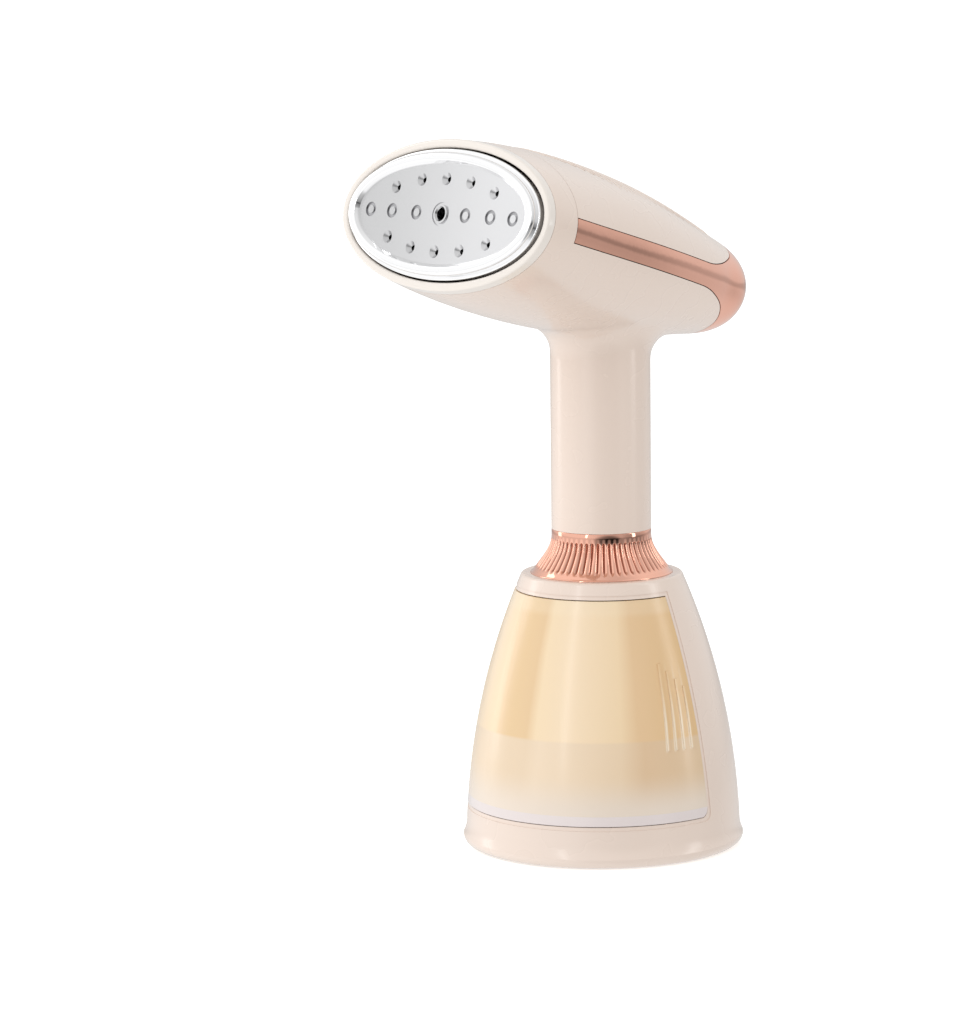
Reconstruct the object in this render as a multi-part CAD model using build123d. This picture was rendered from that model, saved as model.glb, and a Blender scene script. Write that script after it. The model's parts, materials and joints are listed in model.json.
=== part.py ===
from build123d import *
from math import atan2, cos, radians, sin, sqrt
import os

os.makedirs("parts", exist_ok=True)

# Handheld garment steamer standing on its base.
# Origin: centre of the base on the surface it stands on. +Z up, the steam plate faces -Y.

# Driving dimensions, millimetres and degrees
handle_r = 19.0
handle_bottom_z = 121.4
wall = 2.2
neck_fillet = 12.0
grip_joint_z = 177.0

head_tilt = 14.4
plate_centre = (0, -80.5, 245.2)
head_length = 154.8
bezel_front = 1.4
bezel_back = 4.8
dome_start = 140.0
# distance behind the plate, half width, half height, shift of the section's centre
head_sections = [
    (25, 52.6, 30.9, -0.6),
    (50, 47.7, 31.4, -1.0),
    (75, 42.4, 29.9, -1.2),
    (100, 35.2, 26.3, -1.2),
    (125, 26.6, 21.2, -1.2),
    (140, 21.3, 17.8, -1.2),
]
bezel_half = (55.6, 28.0)
bezel_hole_half = (52.7, 24.9)
dome_steps = (0.42, 0.72, 0.9, 0.985)

plate_half = (51.3, 24.3)
plate_face_half = (44.8, 18.5)
# distances behind the plate's centre point: crown, sunk face, lip, back of the plate
crown_front = -1.5
plate_face = 0.2
plate_lip = 1.0
plate_thick = 4.0
crown_half = (49.9, 22.9)
recess_front_half = (46.2, 19.9)
skirt_half = (46.0, 20.0)
skirt_wall = 3.0
boiler_front = 14.0
boiler_back = 44.0
boiler_half = (44.0, 18.0)
chamber_half = (38.0, 13.0)
chamber_back = 30.0
cover_thick = 4.0
nozzle_r = 0.9
nozzle_mouth_r = 2.4
nozzle_sink = 1.5
centre_nozzle_r = 2.3
centre_ring_r = 4.4
dimple_r = 2.7
dimple_core_r = 1.5
dimple_depth = 0.5
nozzle_spots = [(0, 13.0), (13.2, 12.2), (-13.2, 12.2), (26.5, 8.9), (-26.5, 8.9)]
low_nozzle_spots = [(0, -14.0), (13.2, -13.0), (-13.2, -13.0), (26.6, -9.8), (-26.6, -9.8)]
dimple_spots = [(x, 0) for x in (-38.4, -26.6, -13.2, 13.2, 26.6, 38.4)]

trim_front = 17.6
trim_half = 4.7
panel_gap = 0.3
bezel_gap = 0.2
# upper and lower edges of the trim where they sweep round the tail: distance behind plate, height
trim_top_curve = [(110, 4.7), (119.5, 5.8), (129, 8.8), (133.9, 11.7), (136, 19.5)]
trim_low_curve = [(105, -4.7), (113.9, -5.2), (122.6, -7.3), (129, -10.2), (132.8, -14.3), (133.4, -22)]

base_top_z = 104.5
base_wall = 2.4
base_low = (52.2, 12.0)
base_mid = (45.3, 60.0)
base_high = (31.0, 103.4)
foot_r = 53.6
foot_edge_z = 4.0
bay_floor_z = 16.0
bay_top_z = 98.5
window_side_low = (5.1, 19.5)
window_side_high = (1.5, 98.5)
window_corner = 3.2
frame_width = 1.5
frame_depth = 0.3
bay_back_y = 20.0
bay_step_z = 90.0
liner_thick = 1.6

tank_gap = 0.35
tank_wall = 1.8
tank_inset = base_wall + 0.6
tank_back_y = 19.5
tank_step_z = 78.0
tank_floor_top = 20.0
filler_y = 10.8
filler_r = 5.5
first_rib_turn = -0.5
rib_pitch = 4.4
rib_half = 0.6
rib_stand = 0.4
rib_low_z = 43.0
rib_high_z = 66.0
port_z = 26.0
port_r = 4.3

spigot_r = 15.6
spigot_bottom_z = 98.5
clip_z = 99.3
clip_thick = 0.9
clip_seat_r = 18.6
roof_hole_r = 15.9
collar_bottom_r = 27.2

steam_button_half = (5.5, 10.0)
power_button_r = 4.5
button_gap = 0.3
panel_half_width = 10.5
panel_low_z = 126.0
panel_high_z = 176.0
button_flange_y = 13.4
button_flange_thick = 1.2
board_y = 8.2
board_thick = 1.6
steam_button_z = 158.0
power_button_z = 136.0
lens_z = 144.0

gland_z = 27.0
gland_r = 6.2
gland_bore_r = 3.4
pump_y = 32.5
hose_r = 2.5
hose_bore_r = 2.0
barb_r = 1.95
wire_r = 1.1
screw_r = 1.5
pilot_r = 1.55
screw_ring_r = 40.0

tilt = radians(head_tilt)
head_axis = (0, cos(tilt), -sin(tilt))
head = Plane(origin=plate_centre, x_dir=(-1, 0, 0), z_dir=head_axis)
side = Plane(origin=plate_centre, x_dir=head_axis, z_dir=(1, 0, 0))


def in_head(x, up, back):
    """World point from sideways, upward and rearward distances in the head."""
    return head.from_local_coords(Vector(-x, up, back))


def oval(half, start, end, shift=0.0):
    """Elliptical slab across the head between two distances behind the plate."""
    flat = Plane(head.location * Pos(0, shift, start)) * Ellipse(*half)
    return extrude(flat, amount=end - start)


def head_rod(x, up, radius, start, end):
    """Round rod along the head's axis."""
    flat = Plane(head.location * Pos(-x, up, start)) * Circle(radius)
    return extrude(flat, amount=end - start)


def rod(radius, start, end):
    """Round rod between two world points."""
    run = Vector(*end) - Vector(*start)
    return extrude(Plane(origin=start, z_dir=run) * Circle(radius), amount=run.length)


def tube(route, radii, outer, inner):
    """Hose along straight runs joined by tangent arcs."""
    path = FilletPolyline(*route, radius=radii)
    cut = Plane(origin=path @ 0, z_dir=path % 0)
    return sweep(cut * Circle(outer), path=path) - sweep(cut * Circle(inner), path=path)


def box(low, high):
    """Box from its lowest to its highest corner."""
    size = [b - a for a, b in zip(low, high)]
    centre = [(a + b) / 2 for a, b in zip(low, high)]
    return Pos(*centre) * Box(*size)


def ring(outer, inner, low, high):
    """Upright ring about the handle's axis."""
    body = Pos(0, 0, low) * Cylinder(outer, high - low, align=(Align.CENTER, Align.CENTER, Align.MIN))
    hole = Pos(0, 0, low) * Cylinder(inner, high - low, align=(Align.CENTER, Align.CENTER, Align.MIN))
    return body - hole


def spring(centre, axis, radius, length, turns, wire_r):
    """Coil spring that starts at centre and runs along axis."""
    coil = Helix(pitch=(length - 2 * wire_r) / turns, height=length - 2 * wire_r, radius=radius)
    wire = sweep(Plane(origin=coil @ 0, z_dir=coil % 0) * Circle(wire_r), path=coil)
    return Plane(origin=centre, z_dir=axis) * Pos(0, 0, wire_r) * wire


# Head and handle

def head_form(inset):
    """Outer form of the head, or the same form shrunk by a wall."""
    rings = [(bezel_front, bezel_half[0] - inset, bezel_half[1] - inset, 0)]
    rings += [(s, a - inset, b - inset, shift) for s, a, b, shift in head_sections]
    last = rings[-1]
    dome = head_length - inset - dome_start
    for part in dome_steps:
        shrink = sqrt(1 - part * part) * (1 - 0.2 * part)
        rings.append((dome_start + part * dome, last[1] * shrink, last[2] * shrink, last[3]))
    return loft([head.location * Pos(0, shift, s) * Ellipse(a, b) for s, a, b, shift in rings])


def grip_form(inset, bottom):
    """Head and handle in one form, blended where they meet."""
    radius = handle_r - inset
    grip = Pos(0, 0, bottom) * Cylinder(radius, 215 - bottom, align=(Align.CENTER, Align.CENTER, Align.MIN))
    both = head_form(inset) + grip
    meet = [
        e for e in both.edges()
        if e.geom_type == GeomType.BSPLINE and abs((e @ 0.3).X ** 2 + (e @ 0.3).Y ** 2 - radius ** 2) < 1
    ]
    return fillet(meet, neck_fillet + inset)


def grip_skin():
    """Hollow skin of the head and handle, before it is divided into its shells."""
    return grip_form(0, handle_bottom_z) - grip_form(wall, handle_bottom_z + wall)


def side_slab(outline):
    """Slab through the whole head with the given outline seen from the side."""
    return extrude(side * outline, amount=70, both=True)


def trim_top_edge(gap):
    """Upper edge of the trim, moved inwards by a gap."""
    curve = [(s + gap, up - gap) for s, up in trim_top_curve]
    return [
        Line((trim_front + gap, trim_half - gap), curve[0]),
        Spline(*curve, tangents=((1, 0), (0.1, 1))),
    ]


def trim_low_edge(gap):
    """Lower edge of the trim, moved inwards by a gap."""
    curve = [(s + gap, up + gap) for s, up in trim_low_curve]
    return [
        Line((trim_front + gap, gap - trim_half), curve[0]),
        Spline(*curve, tangents=((1, 0), (0, -1))),
    ]


def trim_zone(gap):
    """Side band on both flanks and the tail behind it."""
    top_edge = trim_top_edge(gap)
    low_edge = trim_low_edge(gap)
    top_end = top_edge[-1] @ 1
    low_end = low_edge[-1] @ 1
    around = Polyline(top_end, (top_end.X, 40), (175, 40), (175, -40), (low_end.X, -40), low_end)
    front = Line((trim_front + gap, gap - trim_half), (trim_front + gap, trim_half - gap))
    return side_slab(make_face(top_edge + low_edge + [around, front]))


def top_zone():
    """Everything above the side band behind the front ring."""
    edge = trim_top_edge(0)
    end = edge[-1] @ 1
    around = Polyline(end, (end.X, 60), (trim_front, 60), (trim_front, trim_half))
    return side_slab(make_face(edge + [around]))


def panel_zone(gap=0.0):
    """Button panel on the rear of the handle."""
    length = panel_high_z - panel_low_z + 2 * gap
    centre_z = (panel_high_z + panel_low_z) / 2
    flat = Plane(origin=(0, 4, centre_z), x_dir=(0, 0, 1), z_dir=(0, 1, 0))
    return extrude(flat * SlotOverall(length, 2 * (panel_half_width + gap)), amount=20)


def neck_spigot():
    """Reduced lower end of the handle that plugs into the base."""
    step = ring(handle_r, spigot_r - wall, handle_bottom_z, handle_bottom_z + wall)
    lower = ring(spigot_r, spigot_r - wall, spigot_bottom_z, handle_bottom_z)
    hose_notch = box((-6.5, 9, spigot_bottom_z - 1), (6.5, 20, 101.5))
    clip_groove = ring(spigot_r + 1, spigot_r - 0.8, clip_z - 0.05, clip_z + clip_thick + 0.05)
    return step + lower - hose_notch - clip_groove


def board_posts():
    """Posts on the floor of the head that carry the power board."""
    posts = []
    for x in (-10, 10):
        for back in (122, 131):
            top = in_head(x, -4, back)
            low = in_head(x, -30, back)
            posts.append(rod(2.0, tuple(low), tuple(top)) & head_form(wall / 2))
    return posts


def handle_zone(low, high):
    """Slab across the handle between two heights."""
    return box((-30, -30, low), (30, 30, high))


def main_shell(skin):
    """Lower part of the head with the flared root of the handle."""
    front_cut = oval((80, 60), -5, bezel_back + bezel_gap)
    body = skin - trim_zone(0) - top_zone() - handle_zone(100, grip_joint_z) - front_cut
    for post in board_posts():
        body += post
    return body


def handle_shell(skin):
    """Straight tube of the handle with the spigot below it."""
    body = (skin & handle_zone(handle_bottom_z, grip_joint_z)) - panel_zone()
    body -= rod(spigot_r - wall, (0, 0, handle_bottom_z - 1), (0, 0, handle_bottom_z + wall + 1))
    return body + neck_spigot()


def top_cover(skin):
    return (skin & top_zone()) - oval((80, 60), -5, trim_front + bezel_gap)


def trim_band(skin):
    return skin & trim_zone(panel_gap)


def handle_panel(skin):
    """Rear strip of the handle with openings for the buttons and the lamp."""
    panel = skin & panel_zone(-0.1)
    half_width, half_height = steam_button_half
    panel -= button_slot(half_width + button_gap, half_height + button_gap, steam_button_z, 5, 25)
    panel -= rod(power_button_r + button_gap, (0, 5, power_button_z), (0, 25, power_button_z))
    panel -= rod(1.6, (0, 5, lens_z), (0, 25, lens_z))
    for z in (panel_low_z + 2.0, panel_high_z - 2.4):
        panel += rod(1.6, (0, board_y + board_thick, z), (0, 17.5, z))
    return panel


def bezel_ring():
    """Front ring of the head around the steam plate."""
    body = head_form(0) & oval((80, 60), bezel_front - 1, bezel_back)
    body -= oval(bezel_hole_half, bezel_front - 1, bezel_back + 1)
    front = body.edges().filter_by(lambda e: abs(head.to_local_coords(e @ 0.2).Z - bezel_front) < 0.1)
    return fillet(front, 0.9)


# Buttons

def button_slot(half_width, half_height, z, start_y, end_y):
    """Upright slot shape carried along Y."""
    flat = Plane(origin=(0, start_y, z), x_dir=(0, 0, 1), z_dir=(0, 1, 0))
    return extrude(flat * SlotOverall(2 * half_height, 2 * half_width), amount=end_y - start_y)


def steam_button():
    half_width, half_height = steam_button_half
    cap = button_slot(half_width, half_height, steam_button_z, button_flange_y, 19.8)
    cap = fillet(cap.edges().group_by(Axis.Y)[-1], 1.2)
    top = button_flange_y + button_flange_thick
    return cap + button_slot(half_width + 1.6, half_height + 1.6, steam_button_z, button_flange_y, top)


def power_button():
    cap = rod(power_button_r, (0, button_flange_y, power_button_z), (0, 19.6, power_button_z))
    cap = fillet(cap.edges().group_by(Axis.Y)[-1], 0.8)
    top = button_flange_y + button_flange_thick
    return cap + rod(power_button_r + 1.1, (0, button_flange_y, power_button_z), (0, top, power_button_z))


def indicator_lens():
    return rod(1.5, (0, board_y + board_thick + 1.2, lens_z), (0, 19.0, lens_z))


def button_board():
    face_y = board_y + board_thick
    board = box((-6.5, board_y, panel_low_z + 1.5), (6.5, face_y, panel_high_z - 1))
    lamp = box((-1.2, face_y, lens_z - 1.2), (1.2, face_y + 1.1, lens_z + 1.2))
    driver = box((-4, board_y - 1.6, 146), (4, board_y, 152))
    return board + lamp + driver


def tact_switch(z, height):
    face_y = board_y + board_thick
    body = box((-3, face_y, z - 3), (3, face_y + height - 0.5, z + 3))
    return body + rod(1.6, (0, face_y, z), (0, face_y + height, z))


def button_spring(z, radius):
    start_y = board_y + board_thick + 0.05
    return spring((0, start_y, z), (0, 1, 0), radius, button_flange_y - start_y - 0.05, 2.5, 0.3)


# Steam plate and boiler

def head_cone(x, up, first_r, last_r, start, end):
    """Straight-sided cone along the head's axis."""
    rims = ((first_r, start), (last_r, end))
    return loft([head.location * Pos(-x, up, s) * Circle(r) for r, s in rims])


def rim_edges(body, half, back):
    """Edges of an oval body that lie on one ellipse across the head."""
    def on_rim(edge):
        near = head.to_local_coords(edge @ 0)
        level = abs(head.to_local_coords(edge @ 0.2).Z - back) < 0.01
        return level and abs((near.X / half[0]) ** 2 + (near.Y / half[1]) ** 2 - 1) < 0.01
    return body.edges().filter_by(on_rim)


def steam_plate():
    """Polished front plate: stepped rim, sunk face, countersunk nozzles, skirt to the boiler."""
    lip = oval(plate_half, plate_lip, plate_thick)
    lip = fillet(rim_edges(lip, plate_half, plate_lip), 0.5)
    crown = oval(crown_half, crown_front, plate_lip + 0.5)
    crown = fillet(rim_edges(crown, crown_half, crown_front), 1.6)
    sink_rings = ((recess_front_half, crown_front), (plate_face_half, plate_face))
    sink = loft([head.location * Pos(0, 0, s) * Ellipse(*half) for half, s in sink_rings])
    plate = lip + crown - sink
    plate = fillet(rim_edges(plate, recess_front_half, crown_front), 1.0)
    for x, up in nozzle_spots + low_nozzle_spots:
        plate -= head_cone(x, up, nozzle_mouth_r, nozzle_r, plate_face - 0.01, plate_face + nozzle_sink)
        plate -= head_rod(x, up, nozzle_r, plate_face, plate_thick + 1)
    centre_floor = plate_face + dimple_depth
    plate -= head_rod(0, 0, centre_ring_r, plate_face - 0.5, centre_floor)
    plate += head_rod(0, 0, centre_ring_r - 0.9, plate_face - 0.3, centre_floor + 0.1)
    plate -= head_cone(0, 0, centre_nozzle_r + 0.5, centre_nozzle_r, plate_face - 0.31, plate_face + 0.4)
    plate -= head_rod(0, 0, centre_nozzle_r, plate_face - 1, plate_thick + 1)
    for x, up in dimple_spots:
        plate -= head_rod(x, up, dimple_r, plate_face - 0.5, centre_floor)
        plate += head_rod(x, up, dimple_core_r, plate_face + 0.1, centre_floor + 0.1)
    skirt = oval(skirt_half, plate_thick, boiler_front - 1)
    skirt -= oval([v - skirt_wall for v in skirt_half], plate_thick, boiler_front)
    return plate + skirt


def plate_seal():
    seal = oval(skirt_half, boiler_front - 1, boiler_front)
    return seal - oval([v - skirt_wall for v in skirt_half], boiler_front - 2, boiler_front + 1)


def heater_route():
    return [tuple(in_head(x, 4, back)) for x, back in ((-22, 57), (-22, 36.5), (22, 36.5), (22, 57))]


def heater_form(radius):
    path = FilletPolyline(*heater_route(), radius=10)
    return sweep(Plane(origin=path @ 0, z_dir=path % 0) * Circle(radius), path=path)


def boiler_screw_spots():
    return [(x, up) for x in (-34, 34) for up in (-8, 8)]


def boiler_body():
    body = oval(boiler_half, boiler_front, boiler_back)
    body -= oval(chamber_half, boiler_front - 1, chamber_back)
    body -= heater_form(3.25)
    for x, up in boiler_screw_spots():
        body -= head_rod(x, up, pilot_r, boiler_back - 6.5, boiler_back + 1)
    body -= head_rod(0, -10, 1.4, chamber_back - 1, boiler_back + 1)
    return body


def boiler_cover():
    cover = oval(boiler_half, boiler_back, boiler_back + cover_thick)
    cover += head_rod(0, -10, 3.2, boiler_back + cover_thick, boiler_back + cover_thick + 4)
    cover += head_rod(0, -10, barb_r, boiler_back + cover_thick + 4, boiler_back + cover_thick + 13)
    cover -= head_rod(0, -10, 1.2, boiler_back - 1, boiler_back + cover_thick + 14)
    cover -= heater_form(3.4)
    for x, up in boiler_screw_spots():
        cover -= head_rod(x, up, pilot_r, boiler_back - 1, boiler_back + cover_thick + 1)
    return cover


def boiler_screws():
    back = boiler_back + cover_thick
    screws = []
    for x, up in boiler_screw_spots():
        shank = head_rod(x, up, screw_r, boiler_back - 6, back)
        screws.append(shank + head_rod(x, up, 2.8, back, back + 2.2))
    return Compound(screws)


def heater_element():
    element = heater_form(3.2)
    for x in (-22, 22):
        element += head_rod(x, 4, 1.2, 57, 64)
    return element


def thermostat():
    back = boiler_back + cover_thick
    body = head_rod(0, 6, 8.0, back, back + 5) + head_rod(0, 6, 6.5, back + 5, back + 8)
    for x in (-5, 5):
        blade = box((-0.4, -2, 0), (0.4, 2, 6))
        body += head.location * Pos(x, 6, back + 7.9) * blade
    return body


def thermal_fuse():
    clip_top = boiler_half[1] + 0.05
    body = head_rod(0, clip_top + 2.2, 2.2, 21, 35)
    return body + head_rod(0, clip_top + 2.2, 0.6, 15, 41)


def boiler_mount():
    """Heat-resistant frame that holds the boiler in the head."""
    frame = oval((48.6, 27.4), 26, 30, -0.6)
    frame -= oval([v + 0.05 for v in boiler_half], 25, 31)
    return frame - head_rod(0, boiler_half[1] + 2.2, 3.0, 25, 31)


def power_board():
    board = head.location * box((-13, -4, 103), (13, -2.4, 134))
    relay = head.location * box((-9, -2.4, 106), (6, 9, 118))
    capacitor = head_rod(4, 3, 4.5, 121, 131)
    link = head.location * box((-8, -2.4, 121), (0, 3, 131))
    return board + relay + capacitor + link


# Base

def base_radius(z):
    """Outer radius of the base at a height, from the circle through three points."""
    (x1, z1), (x2, z2), (x3, z3) = base_low, base_mid, base_high
    d = 2 * (x1 * (z2 - z3) + x2 * (z3 - z1) + x3 * (z1 - z2))
    q1 = x1 * x1 + z1 * z1
    q2 = x2 * x2 + z2 * z2
    q3 = x3 * x3 + z3 * z3
    cx = (q1 * (z2 - z3) + q2 * (z3 - z1) + q3 * (z1 - z2)) / d
    cz = (q1 * (x3 - x2) + q2 * (x1 - x3) + q3 * (x2 - x1)) / d
    radius = sqrt((x1 - cx) ** 2 + (z1 - cz) ** 2)
    return cx + radius * cos(atan2(z - cz, sqrt(max(radius ** 2 - (z - cz) ** 2, 0))))


def base_form(inset, low, high):
    """Solid of the flared base between two heights, moved in by inset."""
    middle = (low + high) / 2
    points = [(base_radius(z) - inset, z) for z in (low, middle, high)]
    flat = make_face([ThreePointArc(*points), Polyline(points[2], (0, high), (0, low), points[0])])
    return revolve(Plane.XZ * flat, Axis.Z)


def window_prism(gap, low, high):
    """Front part of the base that the tank fills, cut behind by a slightly leaning plane."""
    low_y, low_z = window_side_low
    high_y, high_z = window_side_high
    lean = (high_y - low_y) / (high_z - low_z)
    top_y = low_y + lean * (high - low_z) - gap
    edge = FilletPolyline((-70, low), (low_y - gap, low), (top_y, high), radius=window_corner)
    outline = make_face([edge, Polyline(edge @ 1, (-70, high), edge @ 0)])
    return extrude(Plane.YZ * outline, amount=70, both=True)


def window_frame():
    """Shallow step in the housing's skin round the window."""
    band = base_form(-1, bay_floor_z - frame_width, bay_top_z + frame_width)
    band -= base_form(frame_depth, bay_floor_z - frame_width - 1, bay_top_z + frame_width + 1)
    return band & window_prism(-frame_width, bay_floor_z - frame_width, bay_top_z + frame_width)


def base_housing():
    foot_arc = ThreePointArc((51.6, 0.6), (53.0, 1.8), (foot_r, foot_edge_z))
    flare = Spline((foot_r, foot_edge_z), (52.7, 6.4), (base_radius(11), 11), tangents=((-0.6, 1), (0, 1)))
    body_arc = ThreePointArc((base_radius(11), 11), base_mid, base_high)
    shoulder = ThreePointArc(base_high, (30.5, 104.2), (29.5, base_top_z))
    inner = ThreePointArc(
        (base_radius(bay_top_z) - base_wall, bay_top_z),
        (base_radius(60) - base_wall, 60),
        (base_radius(14) - base_wall, 14),
    )
    top = Polyline((29.5, base_top_z), (roof_hole_r, base_top_z), (roof_hole_r, bay_top_z), inner @ 0)
    bottom = Polyline(inner @ 1, (49.4, 12), (49.4, 4.2), (50.8, 4.2), (50.8, 0.6), (51.6, 0.6))
    flat = make_face([foot_arc, flare, body_arc, shoulder, inner, top, bottom])
    body = revolve(Plane.XZ * flat, Axis.Z)
    body -= window_prism(0, bay_floor_z, bay_top_z)
    body -= window_frame()
    body -= ring(25.5, 18.0, 102.0, base_top_z + 1)
    body -= ring(clip_seat_r, roof_hole_r - 1, bay_top_z - 1, clip_z + clip_thick + 0.2)
    body -= rod(gland_r, (0, 40, gland_z), (0, 60, gland_z))
    return body


def bay_liner():
    """Inner wall of the base: floor, back wall, ceiling over the filler and riser to the roof."""
    inner = base_form(base_wall + 0.1, 14, bay_top_z)
    back = bay_back_y + liner_thick
    liner = inner & box((-60, -60, 14), (60, 60, bay_floor_z))
    liner += inner & box((-60, bay_back_y, 14), (60, back, bay_step_z + liner_thick))
    liner += inner & box((-60, 3, bay_step_z), (60, back, bay_step_z + liner_thick))
    liner += inner & box((-60, 3, bay_step_z), (60, 3 + liner_thick, bay_top_z))
    liner -= rod(2.9, (0, bay_back_y - 1, port_z), (0, back + 1, port_z))
    for x, y in base_screw_spots():
        liner += rod(4.0, (x, y, 4.0), (x, y, 14.0)) - rod(pilot_r, (x, y, 3), (x, y, 13))
    return liner


def base_screw_spots():
    reach = screw_ring_r * sqrt(0.5)
    return [(x, y) for x in (-reach, reach) for y in (-reach, reach)]


def base_cover():
    cover = rod(50.6, (0, 0, 1.5), (0, 0, 4.0))
    for x, y in base_screw_spots():
        cover -= rod(3.2, (x, y, 1), (x, y, 3.2))
        cover -= rod(1.7, (x, y, 1), (x, y, 5))
    return cover


def foot_pad():
    """Rubber disc under the base with access holes for the screws."""
    pad = rod(48.0, (0, 0, 0), (0, 0, 1.5))
    for x, y in base_screw_spots():
        pad -= rod(4.0, (x, y, -1), (x, y, 2))
    low_circles = pad.edges().group_by(Axis.Z)[0].filter_by(GeomType.CIRCLE)
    return fillet(low_circles.sort_by(SortBy.LENGTH)[-1], 0.5)


def base_screws():
    return Compound([
        rod(2.8, (x, y, 1.6), (x, y, 3.15)) + rod(screw_r, (x, y, 3.0), (x, y, 11.5))
        for x, y in base_screw_spots()
    ])


def neck_collar():
    """Flared metallic collar between the handle and the base."""
    sweep_up = Spline(
        (26.9, 104.9), (24.3, 108), (21.9, 111), (19.7, 114.9), (19.0, 118), tangents=((-0.7, 1), (0, 1))
    )
    rest = Polyline(
        (19.0, 118), (19.0, handle_bottom_z), (roof_hole_r, handle_bottom_z), (roof_hole_r, base_top_z),
        (collar_bottom_r, base_top_z), (26.9, 104.9),
    )
    return revolve(Plane.XZ * make_face([sweep_up, rest]), Axis.Z)


def neck_clip():
    """Open spring clip in the spigot's groove, under the roof of the base."""
    clip = ring(clip_seat_r - 0.4, spigot_r - 0.75, clip_z, clip_z + clip_thick)
    return clip - box((-7.5, 0, clip_z - 1), (7.5, 20, clip_z + 2))


def cord_gland():
    """Bushing in the rear wall of the base that the mains lead passes through."""
    outer_y = base_radius(gland_z) + 0.8
    gland = rod(gland_r - 0.1, (0, 44, gland_z), (0, outer_y, gland_z))
    gland += rod(gland_r + 1.5, (0, outer_y - 2.0, gland_z), (0, outer_y, gland_z))
    gland += rod(gland_r + 2.0, (0, 43.5, gland_z), (0, 45.6, gland_z))
    housing_wall = base_form(0, 14, 60) - base_form(base_wall, 13, 61)
    housing_wall -= rod(gland_r, (0, 40, gland_z), (0, 60, gland_z))
    return gland - housing_wall - rod(gland_bore_r, (0, 40, gland_z), (0, 60, gland_z))


# Water tank

def tank_form():
    low = bay_floor_z + tank_gap
    high = bay_top_z - tank_gap
    front = base_form(0, low - 1, high + 1) & window_prism(tank_gap, low, high)
    rear = base_form(tank_inset, low, tank_step_z)
    return front + (rear & box((-60, -60, 0), (60, tank_back_y, 100)))


def tank_cavity():
    low = bay_floor_z + tank_gap + tank_wall
    high = bay_top_z - tank_gap - tank_wall
    front = base_form(tank_wall, low - 1, high + 1) & window_prism(tank_gap + tank_wall, low, high)
    rear = base_form(tank_inset + tank_wall, low, tank_step_z - tank_wall)
    return front + (rear & box((-60, -60, 0), (60, tank_back_y - tank_wall, 100)))


def grip_ribs():
    """Four short upright ribs near each side edge of the tank."""
    band = base_form(-rib_stand, rib_low_z, 90) - base_form(0.6, rib_low_z - 1, 91)
    ribs = []
    for flank in (0, 180):
        for step in range(4):
            turn = first_rib_turn - rib_pitch * step
            turn = turn if flank == 0 else 180 - turn
            slab = box((20, -rib_half, rib_low_z), (70, rib_half, rib_high_z + 3.0 * step))
            ribs.append(band & (Rot(0, 0, turn) * slab))
    return ribs


def filler_zone():
    """Slab behind the tank's raised front part, where the filler plate closes the top."""
    slab = box((-60, -60, tank_step_z - tank_wall), (60, 60, tank_step_z + 1))
    return slab - window_prism(tank_gap, bay_floor_z + tank_gap, bay_top_z - tank_gap)


def filler_plate():
    """Flat roof welded on the rear part of the tank, with the round filler hole."""
    plate = (tank_form() - tank_cavity()) & filler_zone()
    return plate - rod(filler_r, (0, filler_y, 70), (0, filler_y, 82))


def tank_shell():
    shell = tank_form() - tank_cavity()
    shell &= box((-60, -60, tank_floor_top), (60, 60, 100))
    shell -= filler_zone()
    boss = rod(7.0, (0, tank_back_y - tank_wall - 3, port_z), (0, tank_back_y - 0.5, port_z))
    shell += boss & box((-20, -60, tank_floor_top), (20, 60, 60))
    shell -= rod(port_r, (0, 5, port_z), (0, 25, port_z))
    for rib in grip_ribs():
        shell += rib
    return shell


def tank_floor():
    return (tank_form() - tank_cavity()) & box((-60, -60, 0), (60, 60, tank_floor_top))


def outlet_seal():
    end_y = tank_back_y - 0.2
    seal = rod(port_r - 0.05, (0, tank_back_y - 5.0, port_z), (0, end_y, port_z))
    seal += rod(5.6, (0, tank_back_y - 6.0, port_z), (0, tank_back_y - 4.85, port_z))
    return seal - rod(3.1, (0, 5, port_z), (0, 25, port_z))


def filler_plug():
    """Soft plug in the filler hole with a pull tab."""
    low = tank_step_z + 0.3
    plug = rod(filler_r - 0.35, (0, filler_y, low - 5.5), (0, filler_y, low))
    plug += rod(7.4, (0, filler_y, low), (0, filler_y, low + 2))
    return plug + box((-3.5, filler_y - 0.8, low + 2), (3.5, filler_y + 0.8, low + 4.2))


# Pump and hoses

def dock_nozzle():
    back = bay_back_y + liner_thick
    nozzle = rod(2.8, (0, 13, port_z), (0, back, port_z))
    nozzle += rod(5.0, (0, back, port_z), (0, back + 1, port_z))
    nozzle += rod(barb_r, (0, back + 1, port_z), (0, back + 4.4, port_z))
    return nozzle - rod(1.2, (0, 5, port_z), (0, back + 6, port_z))


def suction_hose():
    start_y = bay_back_y + liner_thick + 1.05
    return tube([(0, start_y, port_z), (0, pump_y, port_z), (0, pump_y, 34)], 6.0, hose_r, hose_bore_r)


def pump_body():
    """Moulded pump body: inlet barb, sleeve for the plunger, outlet barb."""
    low = rod(barb_r, (0, pump_y, 32.2), (0, pump_y, 35)) + rod(6, (0, pump_y, 35), (0, pump_y, 38))
    sleeve = rod(4.1, (0, pump_y, 38), (0, pump_y, 64))
    high = rod(6, (0, pump_y, 62), (0, pump_y, 70)) + rod(barb_r, (0, pump_y, 70), (0, pump_y, 77))
    body = low + sleeve + high
    body -= rod(1.0, (0, pump_y, 30), (0, pump_y, 78))
    return body - rod(3.1, (0, pump_y, 42), (0, pump_y, 65))


def pump_coil():
    return rod(8.4, (0, pump_y, 40), (0, pump_y, 58)) - rod(4.2, (0, pump_y, 39), (0, pump_y, 59))


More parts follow.
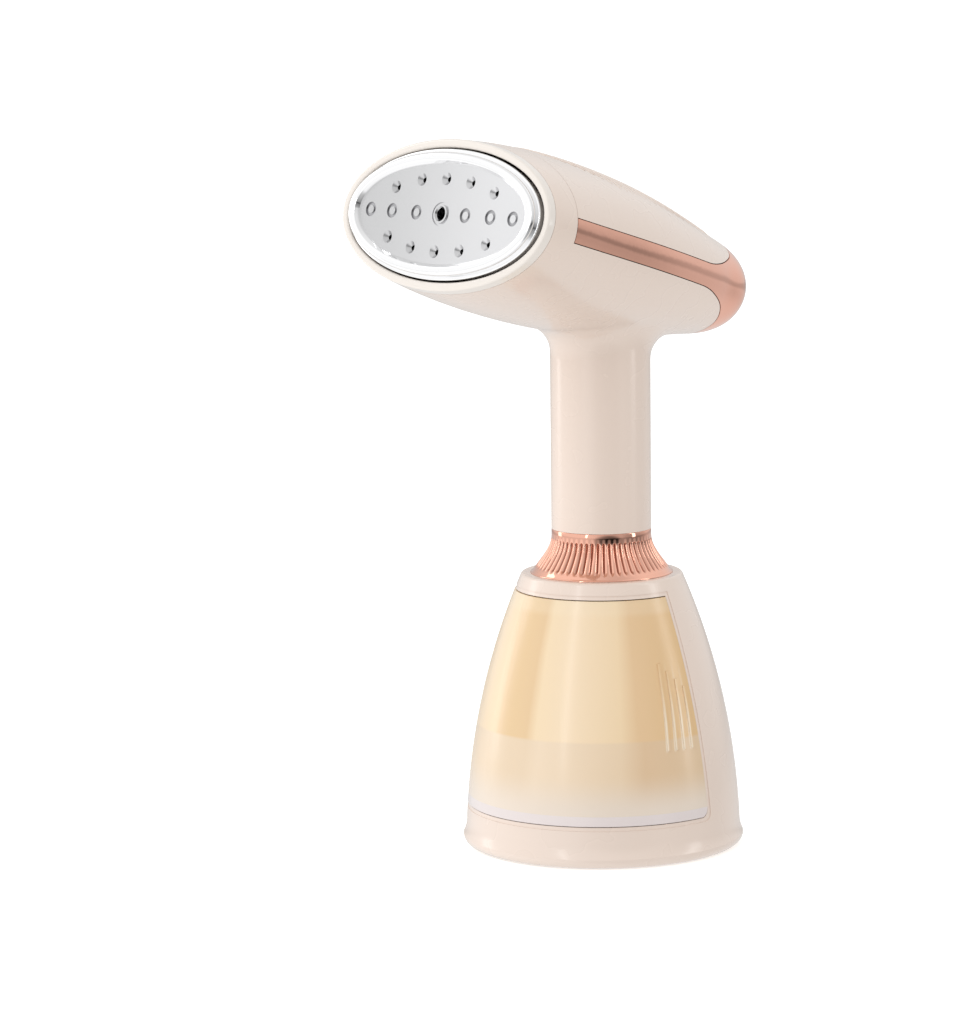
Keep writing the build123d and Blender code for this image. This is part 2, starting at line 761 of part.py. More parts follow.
def pump_yoke():
    """Bent steel frame round the coil."""
    yoke = box((-8, 23.6, 38.1), (8, 40.5, 39.7))
    yoke += box((-8, 23.6, 58.3), (8, 40.5, 59.9))
    yoke += box((-8, 22.4, 38.1), (8, 23.8, 59.9))
    return yoke - rod(4.2, (0, pump_y, 37), (0, pump_y, 61))


def pump_plunger():
    plunger = rod(3.03, (0, pump_y, 42.4), (0, pump_y, 57.5))
    return plunger - rod(1.0, (0, pump_y, 42), (0, pump_y, 58))


def pump_spring():
    return spring((0, pump_y, 57.6), (0, 0, 1), 2.3, 7.2, 4, 0.3)


def feed_hose():
    back = boiler_back + cover_thick + 4.1
    reach = (-8 - plate_centre[1] + 10 * sin(tilt)) / cos(tilt)
    corner = in_head(0, -10, reach)
    route = [
        (0, pump_y, 70.2), (0, pump_y, 94.8), (0, 8, 94.8), (0, 8, 118), (0, -8, 142),
        (0, -8, corner.Z), tuple(in_head(0, -10, back)),
    ]
    return tube(route, (13, 9, 20, 20, 9), hose_r, hose_bore_r)


# Wiring held inside

def wires(route, bend, radius):
    """The same insulated wire on both sides of the middle plane."""
    path = FilletPolyline(*route, radius=bend)
    wire = sweep(Plane(origin=path @ 0, z_dir=path % 0) * Circle(radius), path=path)
    return Compound([wire, mirror(wire, about=Plane.YZ)])


def mains_wires():
    """Pair from the gland past the pump, over the tank bay and up the handle to the power board."""
    board_end = tuple(in_head(7, -5.3, 109))
    route = [
        (1.7, 43.4, gland_z), (1.7, 39.5, gland_z), (13, 34.5, 34), (13, 28.5, 86), (4.9, 22, 95),
        (4.9, 9, 95), (4.9, 9, 110), (8, 1, 126), (8, 1, 203), tuple(in_head(8, -10, 98)), board_end,
    ]
    return wires(route, (1.5, 3, 5, 3, 4, 6, 6, 8, 5), wire_r)


def heater_leads():
    """Pair from the heater's terminals to the power board."""
    spots = ((22, 4, 64.1), (22, 4, 74), (11.5, 6, 96), (11.5, -1.2, 106))
    return wires([tuple(in_head(*spot)) for spot in spots], (5, 4), wire_r)


def switch_wires():
    """Thin pair from the button board up to the power board."""
    end = tuple(in_head(3, -4.9, 113))
    route = [(3, board_y - 0.8, 170), (3, board_y - 0.8, 200), tuple(in_head(3, -9, 106)), end]
    return wires(route, (8, 2), wire_r * 0.7)


skin = grip_skin()
nodes = {
    "main_shell": main_shell(skin),
    "handle_shell": handle_shell(skin),
    "top_cover": top_cover(skin),
    "trim_band": trim_band(skin),
    "handle_panel": handle_panel(skin),
    "bezel_ring": bezel_ring(),
    "steam_plate": steam_plate(),
    "plate_seal": plate_seal(),
    "boiler_body": boiler_body(),
    "boiler_cover": boiler_cover(),
    "boiler_screws": boiler_screws(),
    "boiler_mount": boiler_mount(),
    "heater_element": heater_element(),
    "thermostat": thermostat(),
    "thermal_fuse": thermal_fuse(),
    "power_board": power_board(),
    "steam_button": steam_button(),
    "power_button": power_button(),
    "steam_button_spring": button_spring(steam_button_z, 4.6),
    "power_button_spring": button_spring(power_button_z, 4.6),
    "steam_switch": tact_switch(steam_button_z, 1.3),
    "power_switch": tact_switch(power_button_z, 2.0),
    "indicator_lens": indicator_lens(),
    "button_board": button_board(),
    "neck_collar": neck_collar(),
    "neck_clip": neck_clip(),
    "base_housing": base_housing(),
    "bay_liner": bay_liner(),
    "base_cover": base_cover(),
    "base_screws": base_screws(),
    "foot_pad": foot_pad(),
    "cord_gland": cord_gland(),
    "tank_shell": tank_shell(),
    "filler_plate": filler_plate(),
    "tank_floor": tank_floor(),
    "outlet_seal": outlet_seal(),
    "filler_plug": filler_plug(),
    "dock_nozzle": dock_nozzle(),
    "suction_hose": suction_hose(),
    "feed_hose": feed_hose(),
    "mains_wires": mains_wires(),
    "heater_leads": heater_leads(),
    "switch_wires": switch_wires(),
    "pump_body": pump_body(),
    "pump_coil": pump_coil(),
    "pump_yoke": pump_yoke(),
    "pump_plunger": pump_plunger(),
    "pump_spring": pump_spring(),
}
for name, shape in nodes.items():
    export_step(shape, f"parts/{name}.step")
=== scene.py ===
import json
import math
import bpy
import numpy as np
from mathutils import Matrix, Vector


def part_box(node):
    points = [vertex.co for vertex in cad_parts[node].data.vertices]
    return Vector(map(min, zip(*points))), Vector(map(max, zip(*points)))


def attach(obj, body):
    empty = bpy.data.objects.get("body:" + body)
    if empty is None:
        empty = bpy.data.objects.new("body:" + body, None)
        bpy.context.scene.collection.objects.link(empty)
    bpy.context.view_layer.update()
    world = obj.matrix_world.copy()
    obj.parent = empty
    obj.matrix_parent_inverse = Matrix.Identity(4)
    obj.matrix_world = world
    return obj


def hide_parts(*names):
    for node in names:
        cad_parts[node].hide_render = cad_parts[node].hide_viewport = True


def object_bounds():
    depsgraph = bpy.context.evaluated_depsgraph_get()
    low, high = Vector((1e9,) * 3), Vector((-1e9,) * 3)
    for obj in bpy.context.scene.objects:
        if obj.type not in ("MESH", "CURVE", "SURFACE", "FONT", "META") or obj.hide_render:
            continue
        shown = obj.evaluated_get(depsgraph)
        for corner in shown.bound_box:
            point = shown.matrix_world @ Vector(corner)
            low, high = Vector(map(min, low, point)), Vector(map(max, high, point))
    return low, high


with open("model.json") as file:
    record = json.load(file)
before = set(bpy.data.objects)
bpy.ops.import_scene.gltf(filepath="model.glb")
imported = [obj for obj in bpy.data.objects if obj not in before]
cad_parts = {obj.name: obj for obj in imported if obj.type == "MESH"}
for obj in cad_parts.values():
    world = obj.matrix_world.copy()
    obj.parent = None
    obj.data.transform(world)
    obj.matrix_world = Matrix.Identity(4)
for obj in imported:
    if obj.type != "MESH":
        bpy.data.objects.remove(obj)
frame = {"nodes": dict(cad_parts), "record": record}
nodes = frame["nodes"]
cadLow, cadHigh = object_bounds()
print("frame loaded:", len(nodes), "CAD nodes")
mm = 0.001


class Field:
    # wraps one socket of a material's node tree, so that shader maths reads as plain expressions
    def __init__(self, tree, socket=None):
        self.tree = tree
        self.socket = socket

    def make(self, kind, settings, inputs, output=0):
        # adds a node of one type: its settings first, then the values or links of its sockets
        node = self.tree.nodes.new(kind)
        for name, value in settings.items():
            if name == "stops":
                ramp = node.color_ramp
                while len(ramp.elements) < len(value):
                    ramp.elements.new(0.5)
                for element, (position, colour) in zip(ramp.elements, value):
                    element.position = position
                    element.color = (*colour, 1.0)
            else:
                setattr(node, name, value)
        for name, value in inputs.items():
            if isinstance(value, Field):
                self.tree.links.new(value.socket, node.inputs[name])
            else:
                node.inputs[name].default_value = value
        return Field(self.tree, node.outputs[output])

    def maths(self, operation, *others):
        return self.make("ShaderNodeMath", {"operation": operation}, dict(enumerate((self, *others))))

    def __add__(self, other):
        return self.maths("ADD", other)

    __radd__ = __add__

    def __mul__(self, other):
        return self.maths("MULTIPLY", other)

    __rmul__ = __mul__

    def __sub__(self, other):
        return self.maths("SUBTRACT", other)

    def __rsub__(self, other):
        return (self * -1.0) + other

    def step(self, low, high):
        # 0 below low, 1 above high, an S-shaped rise between them
        inputs = {"Value": self, "From Min": low, "From Max": high}
        return self.make("ShaderNodeMapRange", {"interpolation_type": "SMOOTHSTEP"}, inputs)

    def noise(self, scale, detail=2.0):
        inputs = {"Vector": self, "Scale": scale, "Detail": detail}
        return self.make("ShaderNodeTexNoise", {}, inputs)

    def along(self, direction):
        # distance along a direction: dot product with a fixed vector
        return self.make("ShaderNodeVectorMath", {"operation": "DOT_PRODUCT"}, {0: self, 1: direction}, 1)

    def part(self, axis):
        return self.make("ShaderNodeSeparateXYZ", {}, {0: self}, axis)

    def ramp(self, *stops):
        return self.make("ShaderNodeValToRGB", {"stops": stops}, {"Fac": self})

    def blend(self, first, second):
        # colour mix: first where self is 0, second where it is 1
        inputs = {0: self, 6: first, 7: second}
        return self.make("ShaderNodeMix", {"data_type": "RGBA"}, inputs, 2)

    def stretch(self, scale):
        return self.make("ShaderNodeMapping", {}, {"Vector": self, "Scale": scale})

    def bump(self, strength, distance):
        inputs = {"Strength": strength, "Distance": distance, "Height": self}
        return self.make("ShaderNodeBump", {}, inputs)


def colour(red, green, blue):
    return (red, green, blue, 1.0)


def makeMaterial(name, constants, paint):
    # constants go straight on the shader, paint returns the patterns for its other sockets
    material = bpy.data.materials.new(name)
    material.use_nodes = True
    tree = material.node_tree
    shader = tree.nodes["Principled BSDF"]
    for socket, value in constants.items():
        shader.inputs[socket].default_value = value
    place = Field(tree).make("ShaderNodeTexCoord", {}, {}, 3)
    for socket, field in paint(place).items():
        tree.links.new(field.socket, shader.inputs[socket])
    return material


moulding = {"driftScale": 18.0, "glossScale": 60.0, "glossSpread": 0.10, "bumpStrength": 0.25}


def speckled(base, spread, rough, grain, depth):
    # a moulded or cast surface: slow colour drift, uneven gloss and a fine skin;
    # the colour runs from base x (1 - spread) to base x (1 + spread)
    def paint(place):
        drift = place.noise(moulding["driftScale"], 3.0)
        fine = place.noise(grain, 2.0)
        gloss = place.noise(moulding["glossScale"], 2.0) - 0.5
        light = [min(c * (1 + spread), 1.0) for c in base]
        dark = [c * (1 - spread) for c in base]
        return {
            "Base Color": drift.blend(colour(*dark), colour(*light)),
            "Roughness": gloss * moulding["glossSpread"] + rough,
            "Normal": fine.bump(moulding["bumpStrength"], depth),
        }
    return paint


creamPlastic = {
    "base": (0.80, 0.668, 0.58), "spread": 0.012, "rough": 0.27, "grain": 700.0, "depth": 0.000006,
}
bezelCream = {
    "base": (0.82, 0.76, 0.70), "spread": 0.006, "rough": 0.18, "grain": 700.0, "depth": 0.000004,
}
creamCoat = {"Coat Weight": 0.5, "Coat Roughness": 0.16}


def makeCream(name, tone):
    return makeMaterial(name, creamCoat, speckled(**tone))


roseGold = {
    "base": (0.74, 0.385, 0.285), "light": (0.83, 0.46, 0.35), "groove": (0.30, 0.10, 0.06),
    "toneScale": 9.0, "rough": 0.08, "wipeScale": (40.0, 400.0, 400.0), "wipeSpread": 0.08,
    "waveScale": 24.0, "waveStrength": 0.2, "waveDepth": 0.0006,
    "ridge": (0.05, 0.70), "grooveShade": 0.9, "low": (0.1062, 0.1074), "high": (0.1166, 0.1176),
}


def grooveShade(place, flutes):
    # painted shade, 1 in the grooves: |cos(flutes x angle / 2)| is small there, faded out at both ends of the
    # height
    angle = place.part(1).maths("ARCTAN2", place.part(0))
    ridge = (angle * (flutes / 2)).maths("COSINE").maths("ABSOLUTE")
    height = place.part(2)
    fluted = height.step(*roseGold["low"]) * (1 - height.step(*roseGold["high"]))
    return (1 - ridge.step(*roseGold["ridge"])) * fluted * roseGold["grooveShade"]


def makeRoseGold(name, flutes=0):
    # plated plastic: a slow waviness bends the reflections, faint wipe marks change the gloss
    def paint(place):
        waves = place.noise(roseGold["waveScale"], 1.0)
        wipes = place.stretch(roseGold["wipeScale"]).noise(2.0, 3.0) - 0.5
        tone = place.noise(roseGold["toneScale"]).blend(colour(*roseGold["base"]), colour(*roseGold["light"]))
        if flutes:
            # painted shade: the flute grooves are darkened towards a dark brown
            tone = grooveShade(place, flutes).blend(tone, colour(*roseGold["groove"]))
        return {
            "Base Color": tone,
            "Roughness": wipes * roseGold["wipeSpread"] + roseGold["rough"],
            "Normal": waves.bump(roseGold["waveStrength"], roseGold["waveDepth"]),
        }
    return makeMaterial(name, {"Metallic": 1.0}, paint)


# polished plate: painted shade across the face, darker on the left and lighter on the right
plateMetal = {
    "rim": (0.84, 0.84, 0.845), "left": (0.50, 0.50, 0.505), "right": (0.68, 0.68, 0.69),
    # painted shade: the ring colour darkens the sunk dimples
    "ring": (0.36, 0.36, 0.37), "rimRough": 0.05, "faceRough": 0.22, "unevenness": 0.04,
    "shadeSpan": (-0.050, 0.045), "rimEdge": (0.98, 1.03),
    "dimples": (0.0132, 0.0266, 0.0384), "dimpleRadius": 0.0027, "inner": (0.50, 0.66), "outer": (0.95, 1.06),
    "centre": (0.0, -0.0805, 0.2452), "tilt": 14.4, "faceHalf": (0.0448, 0.0185),
    "grainScale": (40.0, 1200.0, 1200.0), "grainStrength": 0.08, "grainDepth": 0.00002,
    "patchScale": 35.0,
}


def dimpleShadeRings(side, level):
    # painted shade: sum of thin dark rings, one round each sunk dimple, by distance: root of (side - spot)
    # squared + level squared
    radius = plateMetal["dimpleRadius"]
    shadeRings = 0.0
    for spot in plateMetal["dimples"]:
        reach = ((side - spot) * (side - spot) + level * level).maths("SQRT") * (1 / radius)
        shadeRings = shadeRings + (reach.step(*plateMetal["inner"]) - reach.step(*plateMetal["outer"]))
    return shadeRings


def makePlateMetal():
    # satin face inside an ellipse (x / a) squared + (up / b) squared = 1, polished rim outside it; the face
    # carries painted shade, darker on the left and lighter on the right, and painted shade rings in its
    # dimples
    turn = math.radians(plateMetal["tilt"])
    upward = Vector((0.0, math.sin(turn), math.cos(turn)))
    halfWidth, halfHeight = plateMetal["faceHalf"]
    rise = upward.dot(Vector(plateMetal["centre"]))

    def paint(place):
        side = place.part(0)
        level = place.along(upward) - rise
        across = side * (1 / halfWidth)
        high = level * (1 / halfHeight)
        rim = (across * across + high * high).step(*plateMetal["rimEdge"])
        # painted shade: the face runs from darker on the left to lighter on the right
        face = side.step(*plateMetal["shadeSpan"])
        face = face.blend(colour(*plateMetal["left"]), colour(*plateMetal["right"]))
        # painted shade rings darken the sunk dimples
        face = dimpleShadeRings(side.maths("ABSOLUTE"), level).blend(face, colour(*plateMetal["ring"]))
        grain = place.stretch(plateMetal["grainScale"]).noise(1.0, 3.0)
        uneven = (grain + place.noise(plateMetal["patchScale"], 3.0) - 1.0) * plateMetal["unevenness"]
        polish = rim * (plateMetal["rimRough"] - plateMetal["faceRough"]) + plateMetal["faceRough"]
        return {
            "Base Color": rim.blend(face, colour(*plateMetal["rim"])),
            "Roughness": polish + uneven,
            "Normal": grain.bump(plateMetal["grainStrength"], plateMetal["grainDepth"]),
        }
    return makeMaterial("polishedPlate", {"Metallic": 1.0}, paint)


# amber tank: painted light and shade in upright bands by angle from the middle of the front, in degrees over
# 180, above and below the water
tankTintAndShade = {
    "above": ((0.00, (0.86, 0.62, 0.35)), (0.045, (0.86, 0.62, 0.36)), (0.075, (0.98, 0.78, 0.52)),
              (0.16, (1.00, 0.80, 0.56)), (0.30, (0.98, 0.76, 0.49)), (0.345, (0.88, 0.62, 0.36)),
              (0.52, (0.84, 0.57, 0.29)), (0.60, (0.88, 0.68, 0.45))),
    "below": ((0.00, (0.87, 0.69, 0.49)), (0.05, (0.88, 0.70, 0.50)), (0.09, (0.94, 0.76, 0.56)),
              (0.30, (0.92, 0.72, 0.50)), (0.36, (0.83, 0.60, 0.38)), (0.60, (0.84, 0.64, 0.42))),
    "waterLine": (0.0465, 0.0479), "haze": (0.90, 0.78, 0.66), "hazeTop": (0.020, 0.036),
    "brow": (1.0, 0.86, 0.64), "browFoot": (0.0915, 0.0945), "browShare": 0.22, "wobble": 0.05,
    "wobbleScale": (9.0, 9.0, 14.0), "rough": 0.25, "roughSpread": 0.10, "roughScale": 40.0,
    "waveScale": 22.0, "waveStrength": 0.15, "waveDepth": 0.0006,
}
tankBody = {"Transmission Weight": 0.12, "IOR": 1.4, "Coat Weight": 0.45, "Coat Roughness": 0.22}

# painted highlights on the finger ribs of the tank: first one's angle and the pitch, in degrees over 180, and
# where the painted highlight fades
ribHighlight = {
    "start": 0.497, "pitch": 0.02444, "tone": (1.0, 0.90, 0.74), "share": 0.75, "edge": (0.3, 0.9),
    "last": (0.407, 0.417), "first": (0.507, 0.512),
    "foot": (0.042, 0.0435), "fade": (0.050, 0.068), "end": (0.066, 0.078),
    "fadeShare": 0.75,
}


def paintedRibHighlight(share, height):
    # painted highlight: a pale stripe where cos(2 pi (share - start) / pitch) is near 1, bright at the foot
    # and fading upwards
    turn = (share - ribHighlight["start"]) * (2 * math.pi / ribHighlight["pitch"])
    ribbed = share.step(*ribHighlight["last"]) - share.step(*ribHighlight["first"])
    stripes = turn.maths("COSINE").step(*ribHighlight["edge"]) * ribbed
    fading = height.step(*ribHighlight["fade"]) * ribHighlight["fadeShare"]
    fading = fading + height.step(*ribHighlight["end"]) * (1 - ribHighlight["fadeShare"])
    return stripes * (height.step(*ribHighlight["foot"]) - fading) * ribHighlight["share"]


def makeTank():
    # translucent amber: upright bands of painted light and shade by angle round the tank, deeper above the
    # water line, hazier below, lighter near the top
    def paint(place):
        angle = place.part(1).maths("ARCTAN2", place.part(0)) + math.pi / 2
        wobble = place.stretch(tankTintAndShade["wobbleScale"]).noise(1.0) - 0.5
        share = angle.maths("ABSOLUTE") * (1 / math.pi) + wobble * tankTintAndShade["wobble"]
        height = place.part(2)
        wet = height.step(*tankTintAndShade["hazeTop"])
        # painted light and shade: lighter and darker upright bands by angle, above and below the water line
        wet = wet.blend(colour(*tankTintAndShade["haze"]), share.ramp(*tankTintAndShade["below"]))
        brow = height.step(*tankTintAndShade["browFoot"]) * tankTintAndShade["browShare"]
        dry = brow.blend(share.ramp(*tankTintAndShade["above"]), colour(*tankTintAndShade["brow"]))
        body = height.step(*tankTintAndShade["waterLine"]).blend(wet, dry)
        uneven = place.noise(tankTintAndShade["roughScale"]) - 0.5
        waves = place.noise(tankTintAndShade["waveScale"], 1.0)
        return {
            # painted highlight: pale stripes on the finger ribs over the tank colour
            "Base Color": paintedRibHighlight(share, height).blend(body, colour(*ribHighlight["tone"])),
            "Roughness": uneven * tankTintAndShade["roughSpread"] + tankTintAndShade["rough"],
            "Normal": waves.bump(tankTintAndShade["waveStrength"], tankTintAndShade["waveDepth"]),
        }
    return makeMaterial("amberTank", tankBody, paint)


def simple(name, base, rough, constants=None, spread=0.06, grain=500.0, depth=0.00004):
    return makeMaterial(name, constants or {}, speckled(base, spread, rough, grain, depth))


metal = {"Metallic": 1.0}
milky = {"Coat Weight": 0.4, "Transmission Weight": 0.15}
softBody = {"Subsurface Weight": 0.1, "Subsurface Scale": 0.002}
finishes = {
    "cream_plastic": makeCream("creamGlossPlastic", creamPlastic),
    "rose_gold_plating": makeRoseGold("roseGoldPlating"),
    "polished_plate": makePlateMetal(),
    "amber_tank": makeTank(),
    "pale_tank_floor": simple("milkyFloor", (0.90, 0.81, 0.79), 0.22, milky),
    "cast_aluminium": simple("castAluminium", (0.55, 0.56, 0.57), 0.45, metal, 0.1, 300.0, 0.0002),
    "dark_nylon": simple("darkNylon", (0.03, 0.03, 0.033), 0.5),
    "white_nylon": simple("whiteNylon", (0.72, 0.70, 0.66), 0.45),
    "board_green": simple("boardGreen", (0.02, 0.12, 0.05), 0.35, {"Coat Weight": 0.5}),
    "steel": simple("zincSteel", (0.62, 0.62, 0.64), 0.3, metal),
    "copper_coil": simple("copperWinding", (0.62, 0.26, 0.12), 0.35, metal),
    "silicone": simple("softSilicone", (0.74, 0.72, 0.68), 0.5, softBody),
    "grey_rubber": simple("greyRubber", (0.16, 0.15, 0.145), 0.7, None, 0.08, 700.0, 0.0001),
    "clear_lens": simple("tintedLens", (0.85, 0.28, 0.15), 0.12, {"Transmission Weight": 0.6}),
    "wire_insulation": simple("wireInsulation", (0.5, 0.49, 0.47), 0.4),
}
for row in frame["record"]["subparts"]:
    nodes[row["node"]].data.materials.clear()
    nodes[row["node"]].data.materials.append(finishes[row["material_slot"]])
nodes["bezel_ring"].data.materials[0] = makeCream("bezelCream", bezelCream)
print("materials made:", len(finishes) + 1)


def gridMesh(name, points, closeRows=False, closeColumns=False, capEnds=False):
    # points is sheets x rows x columns x 3; neighbours join into quads, capEnds closes first and last rows
    sheets, rows, columns = points.shape[:3]
    index = np.arange(sheets * rows * columns).reshape(sheets, rows, columns)
    grid = np.concatenate([index, index[:, :1]], axis=1) if closeRows else index
    grid = np.concatenate([grid, grid[:, :, :1]], axis=2) if closeColumns else grid
    corners = [grid[:, :-1, :-1], grid[:, :-1, 1:], grid[:, 1:, 1:], grid[:, 1:, :-1]]
    faces = np.stack(corners, axis=-1).reshape(-1, 4).tolist()
    if capEnds:
        faces += index[:, 0, ::-1].tolist() + index[:, -1].tolist()
    mesh = bpy.data.meshes.new(name)
    mesh.from_pydata(points.reshape(-1, 3).tolist(), [], faces)
    mesh.shade_smooth()
    piece = bpy.data.objects.new(name, mesh)
    bpy.context.scene.collection.objects.link(piece)
    return piece


def ease(value, low, high):
    # 0 below low, 1 above high, cubic S curve between
    share = np.clip((value - low) / (high - low), 0, 1)
    return share * share * (3 - 2 * share)


# collar: a concave skirt with upright flutes between a plain top ring and a plain foot, in millimetres
collarShape = {
    "ribs": 56, "perRib": 16, "rows": 72, "depth": 1.05, "sharpness": 0.75,
    "fluteLow": (106.0, 107.8), "fluteHigh": (117.1, 118.0), "boreLow": 17.0, "bore": 16.2,
    "outline": ((26.6, 104.75), (24.3, 108.0), (21.9, 111.0), (19.9, 114.9), (19.05, 118.0)),
    "skirtFoot": 104.9, "skirtTop": 118.0, "ring": 19.0, "ringMiddle": 119.5, "plainFrom": 18.0,
}


def collarOutline(low, high):
    # radius and height of the closed outline: foot edge, skirt (cubic through five points), ring, bore
    shape = collarShape
    fit = np.polyfit([z for r, z in shape["outline"]], [r for r, z in shape["outline"]], 3)
    skirt = np.linspace(shape["skirtFoot"], shape["skirtTop"], shape["rows"])
    foot = [(shape["boreLow"], low.z), (high.x - 0.15, low.z), (high.x, low.z + 0.15)]
    ring = [(shape["ring"], shape["ringMiddle"]), (shape["ring"], high.z - 0.35)]
    ring += [(shape["ring"] - 0.1, high.z - 0.1), (shape["ring"] - 0.4, high.z)]
    bore = [(shape["bore"], high.z), (shape["bore"], low.z)]
    return np.array(foot + list(zip(np.polyval(fit, skirt), skirt)) + ring + bore).T


def fluteCollar():
    # each flute sinks by depth x (1 - |cos(ribs x turn / 2)| to the sharpness), faded at both ends
    shape = collarShape
    low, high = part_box("neck_collar")
    r, z = collarOutline(low / mm, high / mm)
    turn = np.linspace(0, 2 * np.pi, shape["ribs"] * shape["perRib"], endpoint=False)
    rib = np.abs(np.cos(turn * shape["ribs"] / 2)) ** shape["sharpness"]
    fade = ease(z, *shape["fluteLow"]) * (1 - ease(z, *shape["fluteHigh"])) * (r > shape["plainFrom"])
    radius = r[:, None] - shape["depth"] * fade[:, None] * (1 - rib)[None, :]
    height = np.repeat(z[:, None], len(turn), 1)
    points = np.stack([radius * np.cos(turn), radius * np.sin(turn), height], axis=-1)
    piece = gridMesh("flutedCollar", points[None] * mm, closeRows=True, closeColumns=True)
    piece.data.materials.append(makeRoseGold("flutedPlating", shape["ribs"]))
    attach(piece, "steamer")
    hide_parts("neck_collar")


# grip ribs across the top of the head: low rounded bars that follow the oval sections
headShape = {
    "centre": (0.0, -80.5, 245.2), "tilt": 14.4,
    "sections": ((1.4, 55.6, 28.0, 0.0), (25, 52.6, 30.9, -0.6), (50, 47.7, 31.4, -1.0),
                 (75, 42.4, 29.9, -1.2), (100, 35.2, 26.3, -1.2), (125, 26.6, 21.2, -1.2),
                 (140, 21.3, 17.8, -1.2)),
}
ribShape = {
    "first": 28.0, "pitch": 3.9, "count": 25, "halfWidth": 1.25, "height": 0.34, "along": 49, "around": 12,
    "reachAt": (25, 60, 125), "reach": (0.363, 0.66, 0.627), "thinnest": 0.02,
}


def headSection(back):
    # half width, half height and shift of the head's oval behind the plate: fifth-degree curves
    rows = np.array(headShape["sections"])
    fits = [np.polyfit(rows[:, 0] / 100, rows[:, column], 5) for column in (1, 2, 3)]
    return [np.polyval(fit, back / 100) for fit in fits]


def inHead(sideways, upward, back):
    # from the head's tilted frame: y = back cos + upward sin, z = upward cos - back sin, from the centre
    turn = math.radians(headShape["tilt"])
    centre = headShape["centre"]
    y = centre[1] + back * math.cos(turn) + upward * math.sin(turn)
    z = centre[2] - back * math.sin(turn) + upward * math.cos(turn)
    return np.stack(np.broadcast_arrays(sideways, y, z), axis=-1)


def coverRibs():
    # each rib is an elliptical bar round an oval arc: x = a sin(t), up = b cos(t);
    # it thins towards its ends by the root of 1 - share to the sixth
    shape = ribShape
    start = shape["first"] + shape["pitch"] * np.arange(shape["count"])[:, None, None]
    reach = np.interp(start, shape["reachAt"], shape["reach"])
    share = np.linspace(-1, 1, shape["along"])[None, :, None]
    turn = np.linspace(0, 2 * np.pi, shape["around"], endpoint=False)[None, None, :]
    thin = np.sqrt(np.clip(1 - share ** 6, shape["thinnest"], 1))
    back = start + shape["halfWidth"] * thin * np.cos(turn)
    half, tall, shift = headSection(back)
    angle = np.arcsin(reach) * share
    lift = shape["height"] * thin * np.sin(turn)
    points = inHead((half + lift) * np.sin(angle), shift + (tall + lift) * np.cos(angle), back)
    piece = gridMesh("coverRibs", points * mm, closeColumns=True, capEnds=True)
    piece.data.materials.append(finishes["cream_plastic"])
    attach(piece, "steamer")


fluteCollar()
coverRibs()
print("collar and ribs made")


softboxes = {
    "stripLeft": ((-1.15, -0.55, 0.50), (0.30, 1.1), 1.8),
    "stripRight": ((1.05, 0.75, 0.55), (0.20, 1.1), 2.2),
    "stripFront": ((0.25, -1.25, 0.55), (0.06, 0.9), 1.2),
}

# light by direction: a broad bright side, lighter sky and ground, and for reflections alone
# darker zones in front and on the right, a dark line at the horizon and a brighter zone behind
studio = {
    "floorHalf": 30.0, "floorGlow": 0.38, "base": 0.685, "bright": 0.48, "sky": 0.16, "ground": 0.26,
    "brightSide": (-0.45, -0.88, 0.12), "front": -0.50, "frontSide": (0.80, -0.45, -0.35),
    "rear": 0.30, "rearSide": (0.05, 0.80, 0.60), "flank": -0.20, "flankSide": (0.69, 0.62, -0.14),
    "brightSpread": (-0.1, 0.98), "rearSpread": (0.55, 0.95), "frontSpread": (0.78, 0.92),
    "flankSpread": (0.72, 0.96), "skyRise": (0.1, 0.9), "groundRise": (-0.6, 0.0),
    "lineFoot": (-0.16, -0.10), "lineTop": (-0.07, -0.01),
    "horizon": -0.22, "backdrop": 1.0, "least": 0.02,
}


def softbox(name, place, size, power):
    # rectangular lamp aimed at the middle of the CAD box
    light = bpy.data.lights.new(name, "AREA")
    light.shape = "RECTANGLE"
    light.size, light.size_y = size
    light.energy = power
    lamp = bpy.data.objects.new(name, light)
    bpy.context.scene.collection.objects.link(lamp)
    lamp.location = Vector(place)
    lamp.rotation_mode = "QUATERNION"
    lamp.rotation_quaternion = ((cadLow + cadHigh) / 2 - lamp.location).to_track_quat("-Z", "Y")


def toward(way, side, low, high):
    # 0 to 1 as the cosine between a direction and the side rises from low to high
    return way.along(Vector(side).normalized()).step(low, high)


def makeFloor():
    half = studio["floorHalf"]
    corners = np.array([[[[-half, -half, 0], [half, -half, 0]], [[-half, half, 0], [half, half, 0]]]], float)
    floor = gridMesh("studioFloor", corners)
    glow = {"Emission Color": colour(1.0, 1.0, 1.0), "Emission Strength": studio["floorGlow"]}
    floor.data.materials.append(simple("paleFloor", (0.92, 0.92, 0.915), 0.7, glow, 0.01, 40.0, 0.0001))
    floor.visible_diffuse = False
    floor.visible_glossy = False


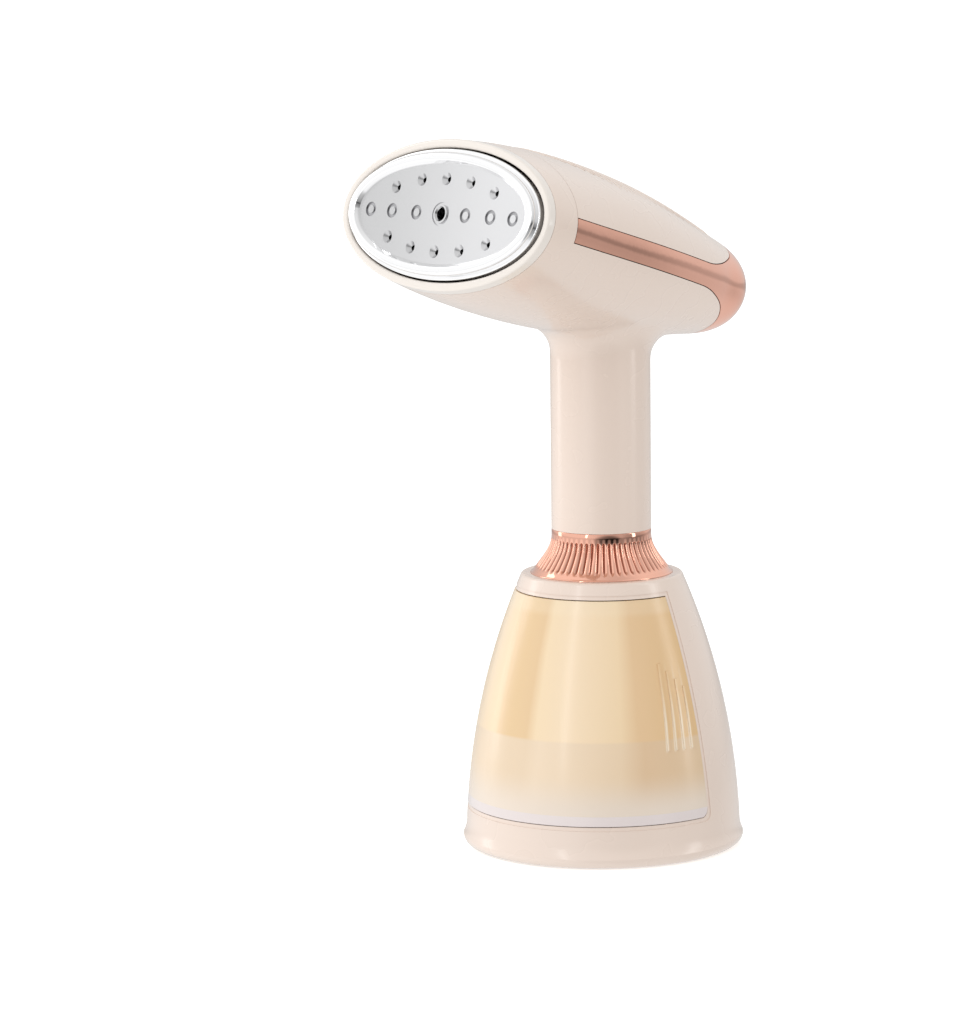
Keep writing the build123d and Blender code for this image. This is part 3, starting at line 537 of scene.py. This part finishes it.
def makeWorld():
    # strength = base + bright + sky + ground, and for mirrored rays + rear + front + flank + horizon
    world = bpy.data.worlds.new("studioWorld")
    world.use_nodes = True
    tree = world.node_tree
    way = Field(tree).make("ShaderNodeTexCoord", {}, {}, 0)
    seen = Field(tree).make("ShaderNodeLightPath", {}, {}, 0)
    mirrored = Field(tree, seen.socket.node.outputs["Is Glossy Ray"])
    height = way.part(2)
    sky = height.step(*studio["skyRise"]) * studio["sky"]
    sky = sky + (1 - height.step(*studio["groundRise"])) * studio["ground"]
    bright = toward(way, studio["brightSide"], *studio["brightSpread"]) * studio["bright"]
    rear = toward(way, studio["rearSide"], *studio["rearSpread"]) * studio["rear"]
    front = toward(way, studio["frontSide"], *studio["frontSpread"]) * studio["front"]
    flank = toward(way, studio["flankSide"], *studio["flankSpread"]) * studio["flank"]
    line = (height.step(*studio["lineFoot"]) - height.step(*studio["lineTop"])) * studio["horizon"]
    light = bright + sky + (rear + front + flank + line) * mirrored + studio["base"]
    strength = light.maths("MAXIMUM", studio["least"]) * (1 - seen) + seen * studio["backdrop"]
    tree.links.new(strength.socket, tree.nodes["Background"].inputs["Strength"])
    tree.nodes["Background"].inputs["Color"].default_value = colour(1.0, 1.0, 1.0)
    bpy.context.scene.world = world


# camera: turned and raised as the object is seen, looking at a point on the handle's axis
viewing = {"azimuth": 45.875, "elevation": 7.972, "distance": 1.6116, "roll": -0.394, "targetZ": 0.135,
           "lens": 149.12, "shift": (-0.1124, -0.0198)}


def makeCamera():
    # the way back from the target is (sin a cos e, -cos a cos e, sin e)
    azimuth, elevation = math.radians(viewing["azimuth"]), math.radians(viewing["elevation"])
    flat = math.cos(elevation)
    back = Vector((math.sin(azimuth) * flat, -math.cos(azimuth) * flat, math.sin(elevation)))
    data = bpy.data.cameras.new("photoCamera")
    data.lens = viewing["lens"]
    data.shift_x, data.shift_y = viewing["shift"]
    data.clip_start, data.clip_end = 0.05, 20.0
    camera = bpy.data.objects.new("photoCamera", data)
    bpy.context.scene.collection.objects.link(camera)
    roll = Matrix.Rotation(math.radians(viewing["roll"]), 3, "Z")
    aim = (-back).to_track_quat("-Z", "Y").to_matrix() @ roll
    camera.rotation_mode = "QUATERNION"
    camera.rotation_quaternion = aim.to_quaternion()
    camera.location = Vector((0, 0, viewing["targetZ"])) + back * viewing["distance"]
    bpy.context.scene.camera = camera


makeFloor()
makeWorld()
for name, (place, size, power) in softboxes.items():
    softbox(name, place, size, power)
bpy.context.scene.view_settings.view_transform = "Standard"
makeCamera()
print("studio and camera made")
